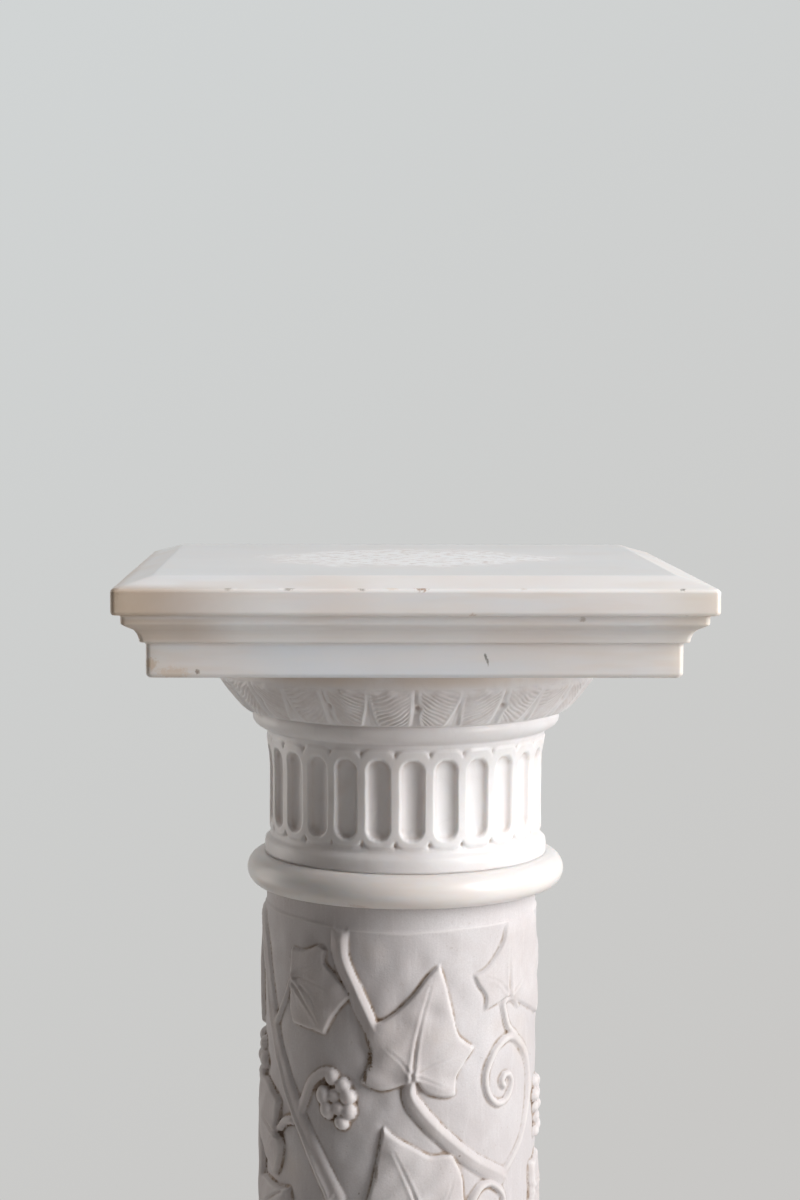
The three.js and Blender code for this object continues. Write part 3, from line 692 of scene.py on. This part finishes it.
def polished_marble(name, marks):
    """Cream marble with a faint warm cloud, level bands and the given small marks."""
    stone = Marble(name, (9, 2, 0.5), 0.2, 0.8, (235, 228, 224), (241, 238, 236))
    stone.band = stone.squeezed((0.13, 0.13, 1))
    stone.layer((19, 1), 0.4, 0.8, 0.45, (230, 217, 209))
    stone.layer((95, 2, 0.5, 0, stone.band), 0.42, 0.74, 0.45, (227, 230, 234))
    stone.layer((150, 2, 0.5, 0, stone.band), 0.45, 0.76, 0.35, (227, 212, 199))
    stone.marked(marks)
    return stone


ring_profile = [(1, ring_foot), *round_edge(ring_radius, ring_foot, ring_top - ring_foot), (1, ring_top)]
torus_ring = turned_stone("torus_ring_stone", evenly(ring_profile, [(math.inf, 5)]), (ring_middle, 0), 224)
ring_marks = [((0.0024, -0.0795, (ring_foot + 1.6) * MM), 0.0024, 0.6, (120, 84, 56), (0.6, 1, 1)),
              ((0.006, -0.0795, (ring_foot + 1.4) * MM), 0.0016, 0.5, (150, 104, 70), (0.5, 1, 1)),
              ((-0.022, -0.078, (ring_foot + 2.2) * MM), 0.003, 0.3, (170, 130, 100), (0.3, 1, 1))]
stone = polished_marble("ring_marble", ring_marks)
rough = stone.patches((12, 1), 0.3, 0.7, 0.29, 0.37)
torus_ring.data.materials.append(stone.finished(rough, 0.5, 0.45, (0.010, 0.008, 0.0065)))
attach(torus_ring, "root")
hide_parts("torus_ring")

# Capital: one block of white marble, turned and then carved by hand. Broad leaves run round the
# flare under its rim, a round bead follows, and the neck is cut with short round-ended flutes.
capital_foot, _, capital_middle, _ = measures(*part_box("capital"))
LEAVES = 13
CARVING_TURN = 1.2
SECTOR = 360 / LEAVES
SECTOR_COLUMNS = 54
NECK_RADIUS = 74.2
FLARE_RADIUS = 94
LEAF_HALF = 22.7
# How far apart the corners lie up to each height: close where the block is carved
CAPITAL_STEPS = [(12, 1.1), (66.2, 0.9), (78.3, 1.0), (100, 0.68), (110, 2.4)]
capital_profile = [(77.3, 0.2), (77.4, 5), (77, 7.5), (75.8, 8.6), (74.9, 9.6), (74.3, 10.2), (74, 13),
                   (73.9, 20), (73.9, 48), (74.3, 54), (75, 59), (75.6, 63.5), (76.2, 66), (76.5, 68),
                   (77.2, 68.4), (79.4, 69.2), (81.2, 70.2), (82.6, 71.4), (83.8, 73.2), (84.2, 75),
                   (84.1, 76.6), (83.7, 77.6), (83.3, 78.2), (84.6, 78.6), (86.6, 79.6), (88.4, 81),
                   (90.2, 82.6), (92.1, 84.6), (94.6, 87.6), (96.9, 90.6), (99, 93.6), (101.1, 96.6),
                   (102.5, 98.6), (102.9, 99.4), (103.2, 99.8), (103.4, 100.4), (103.4, 108.8),
                   (103.2, 109.1)]


def white_marble(name):
    """White marble with a satin face, faintly veined, with dust and strands in the carving, painted shade and
    highlight on the strands and crests, and a warm band under the slab that is partly dust and partly painted
    shade.
    """
    stone = Marble(name, (12, 5, 0.55, 0.7), 0.3, 0.7, (232, 227, 226), (242, 240, 240))
    tree = stone.tree
    stone.layer((42, 4, 0.6, 0.8), 0.5, 0.75, 0.4, (226, 218, 214))
    hair = maths(tree, "ABSOLUTE", stone.wander((8, 6, 0.62, 1.3), 1))
    stone.glaze(ramp(tree, hair, 0.012, 0.0), 0.06, (184, 180, 182))
    hollow, leafy, strand = [stone.attribute(label) for label in ("hollow", "leafy", "strand")]
    crease = stone.times(ramp(tree, hollow, 0.1, 0.7), stone.patches((120, 3, 0.6), 0.35, 0.65, 0.4))
    stone.glaze(crease, 0.55, (176, 156, 138))
    turns = maths(tree, "ADD", strand, stone.wander((45, 2), 0.7))
    groove = maths(tree, "SINE", stone.times(turns, 2 * math.pi))
    groove = stone.times(groove, leafy, stone.patches((60, 3), 0.4, 0.64, 0.12, 0.85))
    dusty = stone.times(leafy, stone.patches((95, 4, 0.6), 0.3, 0.7, 0.05, 0.6))
    stone.glaze(dusty, 1, (208, 197, 193))
    # Painted shade in the grooves of the strands and painted highlight on the ridges between them
    stone.glaze(ramp(tree, groove, -0.2, -1.0), 0.28, (176, 160, 148))
    stone.glaze(ramp(tree, groove, 0.2, 1.0), 0.24, (246, 244, 242))
    # Crests painted paler: partly wear on the edges, partly painted highlight
    stone.glaze(ramp(tree, hollow, -0.1, -0.5), 0.5, (248, 246, 245))
    height = node(tree, "ShaderNodeSeparateXYZ", {0: stone.place})[2]
    # A warm tint round the capital's top under the slab: partly dust, partly painted warm shade cast by the
    # slab
    dust_and_shade_under_slab = ramp(tree, height, (capital_foot + 98) * MM, (capital_foot + 105) * MM)
    stone.glaze(stone.times(dust_and_shade_under_slab, stone.patches((40, 3), 0.3, 0.65, 0.4)), 0.6, (222, 202, 182))
    fine = stone.grain((700, 2, 0.6), (110, 3), 1.5, 0.00012, 0.4)
    inputs = {"Height": groove, "Distance": 0.0003, "Strength": 0.6, "Normal": fine}
    cut = node(tree, "ShaderNodeBump", inputs)[0]
    rough = stone.patches((50, 3), 0.3, 0.7, 0.36, 0.5)
    return stone.finished(rough, 0.45, 0.3, (0.007, 0.006, 0.005), cut)


def soft_box(across, up, half, bottom, top, bend):
    """How far a point is inside an upright box with round ends; less than nought is outside."""
    middle = (bottom + top) / 2
    over_x = np.abs(across) - (half - bend)
    over_y = np.abs(up - middle) - ((top - bottom) / 2 - bend)
    outside = np.hypot(np.maximum(over_x, 0), np.maximum(over_y, 0))
    return bend - outside - np.minimum(np.maximum(over_x, over_y), 0)


def capital_sector():
    """One leaf and the two flutes under it, as a wedge of the block."""
    rows = evenly(capital_profile, CAPITAL_STEPS, round)
    run = np.gradient(rows, axis=0)
    length = np.hypot(run[:, 0], run[:, 1])
    out_r, out_z = run[:, 1] / length, -run[:, 0] / length
    angle = np.linspace(-SECTOR / 2, SECTOR / 2, SECTOR_COLUMNS + 1)
    degrees, up = np.meshgrid(angle, rows[:, 1])
    radius = rows[:, 0][:, None]
    relief = np.zeros_like(degrees)
    # The flutes: round-ended channels inside raised borders, with a notch where two borders meet
    for centre in (-SECTOR / 2, 0, SECTOR / 2):
        across = np.radians(degrees - centre) * NECK_RADIUS
        border = soft_box(across, up, 8.9, 13.4, 64.4, 5.2)
        raised = 0.85 * step_up(border + 1.0, 1.0)
        relief = np.maximum(relief, raised * (up > 12) * (up < 67))
    for centre in (-SECTOR / 2, 0, SECTOR / 2):
        across = np.radians(degrees - centre) * NECK_RADIUS
        channel = soft_box(across, up, 6.25, 17, 59.6, 5.8)
        deep = 1 - np.clip(channel, 0, 6.25) / 6.25
        cut = 3.4 * np.sqrt(np.clip(1 - deep ** 2, 0, 1)) + 0.3 * step_up(channel + 0.4, 0.6)
        relief = np.where(channel > -0.4, np.minimum(relief, 0.85 - cut), relief)
    for centre in (-SECTOR / 4, SECTOR / 4):
        across = np.radians(degrees - centre) * NECK_RADIUS
        for height in (14.4, 62.6):
            far = np.hypot(across * 1.4, (up - height) * 0.7)
            relief -= (1.0 if height < 20 else 0.7) * bell(far, 1.0)
    # The leaf: a double rib, a crowned face, a rim along the parting and a drilled eye
    leaf_up = np.clip((up - 79) / 20.5, 0, 1)
    band = step_up(up - 78.9, 1.6) * step_up(99.9 + 0.5 * np.sin(np.abs(degrees) * 1.1) - up, 3)
    across = np.radians(degrees) * FLARE_RADIUS
    side = np.abs(across)
    edge = LEAF_HALF - side
    loose = 1.5 + 1.8 * bell(up - 90, 2.8) + 3 * (1 - leaf_up) ** 3
    spread = np.where(across > 0, loose, 1.6 + 1.6 * (1 - leaf_up) ** 3)
    fading = np.where(across > 0, 1 - 0.6 * bell(leaf_up - 0.55, 0.16), 1 - 0.35 * leaf_up)
    rib = 0.5 * fading * bell(side - spread, 0.8) - 0.3 * step_up(spread - side - 0.4, 0.9)
    crown = 1.1 * np.sin(np.clip(side / LEAF_HALF, 0, 1) * math.pi) ** 0.8 + 0.5 * leaf_up
    parting = 0.5 + np.where(across > 0, 6.5 * (1 - leaf_up) ** 1.7, 3.2 * (1 - leaf_up) ** 2.2)
    rim = 0.5 * bell(edge - parting, 0.75)
    rim -= 0.45 * step_up(parting - edge, 1.4) * step_up(edge, 0.5)
    eye = np.hypot(across - 1.5, (up - 89.8) * 0.8)
    fall = -1.5 * bell(eye, 1.25)
    strand = (leaf_up * 21 + 0.9 * side - 0.016 * side ** 2 + 0.05 * across * leaf_up) / 2.3
    strand += 0.13 * np.sin(across * 0.4 + up * 0.35) + 0.1 * np.sin(up * 0.6 - across * 0.25)
    relief += band * (rib + crown + rim + fall)
    ribbed = band * step_up(side - spread - 0.6, 1.2) * step_up(edge - parting - 0.4, 1.2)
    relief += 0.085 * np.sin(2 * math.pi * strand) * ribbed
    # Both sides of the wedge have to meet their neighbours
    seam = (relief[:, 0] + relief[:, -1]) / 2
    relief[:, 0] = seam
    relief[:, -1] = seam
    radius = radius + relief * out_r[:, None]
    height = rows[:, 1][:, None] + relief * out_z[:, None]
    turn = np.radians(degrees)
    points = np.stack([radius * np.sin(turn), -radius * np.cos(turn), height], -1)
    blurred = softened(relief[:, :-1], 6)
    hollow = np.concatenate([blurred, blurred[:, :1]], 1) - relief
    return points, hollow, strand, ribbed


sector_points, sector_hollow, sector_strand, sector_leafy = capital_sector()
row_count, column_count = sector_hollow.shape
sector_faces = []
for row in range(row_count - 1):
    for k in range(column_count - 1):
        low = row * column_count + k
        sector_faces.append((low, low + 1, low + column_count + 1, low + column_count))
axis_low, axis_high = row_count * column_count, row_count * column_count + 1
for k in range(column_count - 1):
    sector_faces.append((axis_low, k + 1, k))
    high = (row_count - 1) * column_count + k
    sector_faces.append((axis_high, high, high + 1))
sector_ends = [[0, 0, capital_profile[0][1]], [0, 0, capital_profile[-1][1]]]
sector_points = np.concatenate([sector_points.reshape(-1, 3), sector_ends]) * MM
capital = stone_mesh("capital_stone", sector_points, sector_faces, 180)
for label, values in (("hollow", sector_hollow), ("strand", sector_strand), ("leafy", sector_leafy)):
    stored(capital, label, values)
capital_marble = white_marble("capital_marble")


def ring_of_leaves():
    """The carving repeated round the block, with a little of the carver's unevenness."""
    tree = bpy.data.node_groups.new("ring_of_leaves", "GeometryNodeTree")
    face = tree.interface
    face.new_socket("Wedge", in_out="INPUT", socket_type="NodeSocketGeometry")
    face.new_socket("Leaves", in_out="INPUT", socket_type="NodeSocketInt")
    for label in ("Turn", "Across", "Foot", "Unevenness"):
        face.new_socket(label, in_out="INPUT", socket_type="NodeSocketFloat")
    face.new_socket("Capital", in_out="OUTPUT", socket_type="NodeSocketGeometry")
    into = node(tree, "NodeGroupInput")
    spots = node(tree, "GeometryNodePoints", {"Count": into["Leaves"]})[0]
    index = node(tree, "GeometryNodeInputIndex")[0]
    step = maths(tree, "DIVIDE", 2 * math.pi, into["Leaves"])
    spin = maths(tree, "ADD", maths(tree, "MULTIPLY", index, step), into["Turn"])
    turn = node(tree, "ShaderNodeCombineXYZ", {"Z": spin})[0]
    wedges = node(tree, "GeometryNodeInstanceOnPoints",
                  {"Points": spots, "Instance": into["Wedge"], "Rotation": turn})[0]
    whole = node(tree, "GeometryNodeRealizeInstances", {0: wedges})[0]
    whole = node(tree, "GeometryNodeMergeByDistance", {"Geometry": whole, "Distance": 0.00004})[0]
    place = node(tree, "GeometryNodeInputPosition")[0]
    waver = node(tree, "ShaderNodeTexNoise", {"Vector": place, "Scale": 55.0, "Detail": 2.0})["Color"]
    waver = vector(tree, "SUBTRACT", waver, (0.5, 0.5, 0.5))
    flat = vector(tree, "MULTIPLY", waver, (1, 1, 0.4))
    shift = node(tree, "ShaderNodeVectorMath", {0: flat, "Scale": into["Unevenness"]}, operation="SCALE")[0]
    height = node(tree, "ShaderNodeSeparateXYZ", {0: place})[2]
    above = node(tree, "FunctionNodeCompare", {0: height, 1: 0.002}, operation="GREATER_THAN")[0]
    below = node(tree, "FunctionNodeCompare", {0: height, 1: 0.1085}, operation="LESS_THAN")[0]
    free = node(tree, "FunctionNodeBooleanMath", {0: above, 1: below}, operation="AND")[0]
    inputs = {"Geometry": whole, "Selection": free, "Offset": shift}
    whole = node(tree, "GeometryNodeSetPosition", inputs)[0]
    move = node(tree, "ShaderNodeCombineXYZ", {"X": into["Across"], "Z": into["Foot"]})[0]
    whole = node(tree, "GeometryNodeTransform", {"Geometry": whole, "Translation": move})[0]
    whole = node(tree, "GeometryNodeSetMaterial", {"Geometry": whole, "Material": capital_marble})[0]
    node(tree, "NodeGroupOutput", {0: whole})
    return tree


def grown(piece, tree, values):
    """Runs a node tree on a piece once and keeps the result as its plain mesh."""
    modifier = piece.modifiers.new(tree.name, "NODES")
    modifier.node_group = tree
    for item in tree.interface.items_tree:
        if item.in_out == "INPUT" and item.name in values:
            modifier[item.identifier] = values[item.name]
    bpy.context.view_layer.update()
    shown = piece.evaluated_get(bpy.context.evaluated_depsgraph_get())
    mesh = bpy.data.meshes.new_from_object(shown)
    piece.modifiers.remove(modifier)
    piece.data = mesh
    mesh.name = piece.name


grown(capital, ring_of_leaves(), {
    "Leaves": LEAVES,
    "Turn": math.radians(CARVING_TURN),
    "Across": capital_middle * MM,
    "Foot": capital_foot * MM - 0.0002,
    "Unevenness": 0.0006,
})
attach(capital, "root")
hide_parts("capital")

# Top slab: the square top of cream marble, sawn, moulded along its four edges and polished. A
# shallow wash runs round its flat top, which is worn rough and pale in the middle.
slab_foot, slab_top, slab_middle, slab_half = measures(*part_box("top_slab"))
slab_edges = [(130.1, 0), (149, 5.7), (slab_half, 7), (slab_half, 17.4), (149.2, 18.8), (145.6, 19.2),
              (145.4, 23.6), (142.8, 25.2), (139.6, 26.8), (138, 29), (137.2, 31.2), (136.8, 33.2),
              (134.2, 33.8), (133.9, 35), (133.9, 49.4), (132.6, 51.2)]
slab_profile = [(half, slab_top - depth) for half, depth in reversed(slab_edges)]
slab_profile = [(6, slab_foot), *slab_profile, (6, slab_top)]
slab_profile = evenly(rounded(slab_profile, 0.6), [(math.inf, 6)])
top_slab = square_block("top_slab_stone", slab_profile, 2.8, (slab_middle, 0), 56)
slab_marks = []
for across, depth, radius, narrowing, share, shade in (
        (-92, 6.2, 1.5, 0.5, 0.6, (150, 138, 128)), (-89, 5.7, 1.2, 0.5, 0.8, (250, 248, 246)),
        (-63, 6.2, 1.4, 0.35, 0.7, (140, 126, 114)), (-66, 5.4, 1.2, 0.5, 0.8, (250, 248, 246)),
        (-27, 6.4, 1.3, 0.4, 0.7, (140, 124, 112)), (-23.5, 6.5, 0.9, 0.6, 0.8, (96, 84, 76)),
        (-12, 5.6, 1.5, 0.35, 0.5, (226, 206, 186)), (2.6, 6.4, 1.7, 0.4, 0.8, (158, 118, 84)),
        (4.5, 3.4, 1.1, 0.6, 0.7, (132, 112, 96)), (23, 3.2, 1.8, 0.3, 0.45, (216, 196, 172)),
        (52.5, 6.2, 1.2, 0.5, 0.5, (200, 178, 160)), (131, 6.2, 1.5, 0.8, 0.85, (92, 84, 76)),
        (133, 17.5, 1.4, 0.6, 0.6, (140, 124, 110)), (28, 17.6, 1.7, 0.5, 0.65, (168, 126, 92)),
        (-148.8, 7.6, 4.5, 1, 0.8, (92, 78, 66)), (-148.6, 14, 3.4, 1, 0.5, (140, 116, 92)),
        (-108, 48, 1.2, 0.8, 0.7, (120, 96, 74)), (-131.5, 44, 3, 0.7, 0.5, (206, 172, 132)),
        (82, 20.8, 1.1, 0.5, 0.5, (150, 130, 112)), (-120, 49, 3, 0.3, 0.4, (214, 184, 150)),
        (34.6, 39.6, 0.75, 0.8, 0.9, (96, 84, 60)), (35.1, 41, 1.15, 1.7, 0.9, (96, 84, 60)),
        (35.9, 42.6, 1.15, 1.7, 0.9, (104, 92, 68)), (36.2, 44.2, 1.1, 2.2, 0.7, (130, 114, 88))):
    face = -0.1485 if depth < 19 else (-0.1455 if depth < 30 else -0.1339)
    spot = ((slab_middle + across) * MM, face, (slab_top - depth) * MM)
    slab_marks.append((spot, radius * MM, share, shade, (narrowing, 1, 0.75)))

stone = polished_marble("slab_marble", slab_marks)
tree = stone.tree
from_top = vector(tree, "SUBTRACT", stone.place, (slab_middle * MM, 0, slab_top * MM))
across, back, up = node(tree, "ShaderNodeSeparateXYZ", {0: from_top})
# A bluish stretch of the lower fascia, in front
lower = stone.times(ramp(tree, up, -0.033, -0.036), ramp(tree, back, -0.12, -0.13))
bluish = stone.times(ramp(tree, across, -0.11, -0.06), ramp(tree, across, 0.1, -0.02), lower,
                     stone.patches((60, 3, 0.5, 0, stone.band), 0.3, 0.6, 0.4))
stone.glaze(bluish, 0.7, (224, 229, 236))
# Dirt at the left end of the hollow, and brown stains on the upper fascia to the left
cove = stone.times(ramp(tree, up, -0.0195, -0.022), ramp(tree, up, -0.036, -0.031),
                   ramp(tree, across, -0.085, -0.115))
stone.glaze(cove, 0.6, (200, 178, 158))
upper = stone.times(ramp(tree, up, -0.0205, -0.0185), ramp(tree, up, -0.0035, -0.0065))
stained = stone.times(ramp(tree, across, -0.06, -0.15), upper,
                      stone.patches((22, 4, 0.6), 0.2, 0.6, 0.5))
stone.glaze(stained, 0.85, (184, 158, 134))
# Corners gone brown with handling, and a flat top that is rubbed dull and flaky in the middle
corner = maths(tree, "MINIMUM", maths(tree, "ABSOLUTE", across), maths(tree, "ABSOLUTE", back))
aged = stone.times(ramp(tree, corner, 0.112, 0.148), ramp(tree, up, -0.003, -0.01))
stone.glaze(aged, 0.4, (222, 204, 180))
flat = maths(tree, "GREATER_THAN", up, -0.0003)
stone.glaze(flat, 0.55, (228, 229, 230))
from_middle = maths(tree, "ADD", vector(tree, "LENGTH", from_top), stone.wander((34, 4, 0.6), 0.1))
worn = stone.times(ramp(tree, from_middle, 0.092, 0.055), flat)
flaky = stone.times(worn, stone.patches((170, 4, 0.75), 0.38, 0.52))
stone.glaze(worn, 0.45, (224, 211, 205))
stone.glaze(flaky, 0.95, (255, 255, 255))
rough = stone.patches((12, 1), 0.3, 0.7, 0.29, 0.35)
rough = maths(tree, "ADD", rough, stone.times(worn, 0.4), clamp=True)
top_slab.data.materials.append(stone.finished(rough, 0.5, 0.15, (0.006, 0.0045, 0.0035)))
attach(top_slab, "root")
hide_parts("top_slab")

# Studio: a pale floor under the column and a pale backdrop all round, painted a little darker low down and to
# the right as a soft fall of light. One strong window light stands on the right, with a ceiling light and
# weak ones behind on the left and low in front.
floor_mesh = bpy.data.meshes.new("studio_floor")
floor_ring = [(1.9 * math.cos(a), 1.9 * math.sin(a), 0) for a in np.linspace(0, 2 * math.pi, 65)[:-1]]
floor_mesh.from_pydata(floor_ring, [], [tuple(range(64))])
floor = placed("studio_floor", floor_mesh)
pale = Marble("pale_floor", (3, 2), 0.3, 0.7, (200, 200, 199), (206, 206, 205))
floor_mesh.materials.append(pale.finished(0.8, 0.5))

world = bpy.data.worlds.new("studio")
bpy.context.scene.world = world
world.use_nodes = True
tree = world.node_tree
tree.nodes.clear()
way = node(tree, "ShaderNodeSeparateXYZ", {0: node(tree, "ShaderNodeTexCoord")["Generated"]})
# The backdrop's colour is painted darker low down and to the right: a painted soft fall of light on a plain
# wall
slope = maths(tree, "SUBTRACT", way[2], maths(tree, "MULTIPLY", way[0], 0.5))
wall = tint(tree, ramp(tree, slope, -0.34, 0.2, kind="LINEAR"), tone(201, 200, 198), tone(209, 212, 212))
seen = node(tree, "ShaderNodeBackground", {"Color": wall, "Strength": 1.0})[0]
shed = node(tree, "ShaderNodeBackground", {"Color": (1, 0.93, 0.87, 1), "Strength": 0.03})[0]
rays = node(tree, "ShaderNodeLightPath")
mirrored = maths(tree, "MAXIMUM", rays["Is Camera Ray"], rays["Is Glossy Ray"])
both = node(tree, "ShaderNodeMixShader", {0: mirrored, 1: shed, 2: seen})[0]
node(tree, "ShaderNodeOutputWorld", {"Surface": both})
COLUMN_MIDDLE = Vector((0, 0, 0.95))


def soft_light(name, place, width, height, power, colour):
    lamp = bpy.data.lights.new(name, "AREA")
    lamp.shape = "RECTANGLE"
    lamp.size = width
    lamp.size_y = height
    lamp.energy = power
    lamp.color = colour
    holder = placed(name, lamp)
    way = COLUMN_MIDDLE - Vector(place)
    holder.matrix_world = Matrix.Translation(place) @ way.to_track_quat("-Z", "Y").to_matrix().to_4x4()


soft_light("window", (1.68, -0.88, 1.62), 0.85, 1.6, 54, (1, 0.995, 0.995))
soft_light("ceiling", (0, -0.1, 2.6), 1.6, 1.6, 11, (0.97, 0.98, 1))
soft_light("left_bounce", (-1.5, 0.75, 1.1), 0.9, 1.6, 8, (1, 0.94, 0.88))
soft_light("floor_bounce", (-0.2, -1.1, 0.05), 1.6, 1.2, 2.2, (1, 0.91, 0.82))

# Camera: where the photograph was taken from, fitted to the corners of the square top and to the
# rings of the capital. Its focal length is in the photograph's pixels.
EYE_ABOVE_TOP = 0.0898
EYE_DISTANCE = 1.399
EYE_ASIDE = 0.0044
FOCAL_PIXELS = 2559
PICTURE_PIXELS = 1200
yaw, pitch, roll = math.radians(1.43), math.radians(4.61), math.radians(0.19)
eye = Vector((
    slab_middle * MM - EYE_ASIDE * math.cos(yaw) - EYE_DISTANCE * math.sin(yaw),
    EYE_ASIDE * math.sin(yaw) - EYE_DISTANCE * math.cos(yaw),
    slab_top * MM + EYE_ABOVE_TOP,
))
ahead = Vector((math.sin(yaw) * math.cos(pitch), math.cos(yaw) * math.cos(pitch), -math.sin(pitch)))
right = Vector((math.cos(yaw), -math.sin(yaw), 0))
over = right.cross(ahead)
right, over = right * math.cos(roll) + over * math.sin(roll), over * math.cos(roll) - right * math.sin(roll)
lens = bpy.data.cameras.new("camera")
lens.sensor_width = 36
lens.sensor_fit = "AUTO"
lens.lens = FOCAL_PIXELS / PICTURE_PIXELS * lens.sensor_width
lens.clip_start = 0.01
camera = placed("camera", lens)
camera.matrix_world = Matrix((
    (right.x, over.x, -ahead.x, eye.x),
    (right.y, over.y, -ahead.y, eye.y),
    (right.z, over.z, -ahead.z, eye.z),
    (0, 0, 0, 1),
))
bpy.context.scene.camera = camera
bpy.context.scene.view_settings.view_transform = "Standard"
